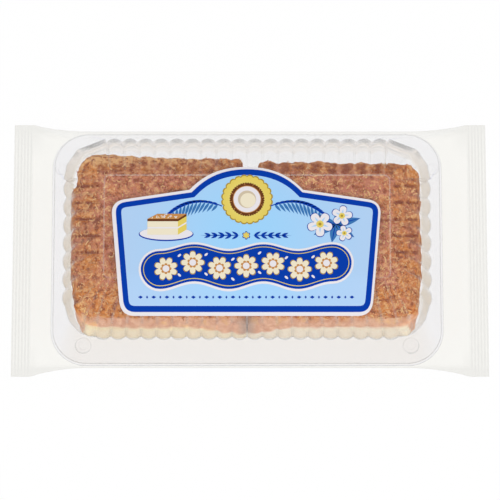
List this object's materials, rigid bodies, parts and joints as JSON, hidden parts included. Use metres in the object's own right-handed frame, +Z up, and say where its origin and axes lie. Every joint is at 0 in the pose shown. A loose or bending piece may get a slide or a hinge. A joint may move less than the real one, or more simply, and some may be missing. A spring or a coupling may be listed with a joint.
{
  "type": "packed coconut sponge cake",
  "caption": "Coconut-topped sponge cake slabs in a clear fluted clamshell, wrapped in clear film with crimped ends and a plain printed label.",
  "frame": {"origin": "on the floor, under the middle of the film wrap's bounding box", "axes": "+X along the pack from seal to seal, +Y from the front to the rear, +Z up"},
  "size_m": [0.306, 0.1686, 0.049],
  "materials": {
    "film": "clear thin film, slightly cream, glossy",
    "clamshell": "clear thermoformed plastic, glossy",
    "cake": "golden-brown baked crust with toasted coconut over cream sponge",
    "label": "printed label, light blue field with a dark blue and white border"
  },
  "bodies": {
    "root": {"film": "film", "lid": "clamshell", "tray": "clamshell", "cake_left": "cake", "cake_right": "cake", "label": "label"}
  },
  "joints": []
}
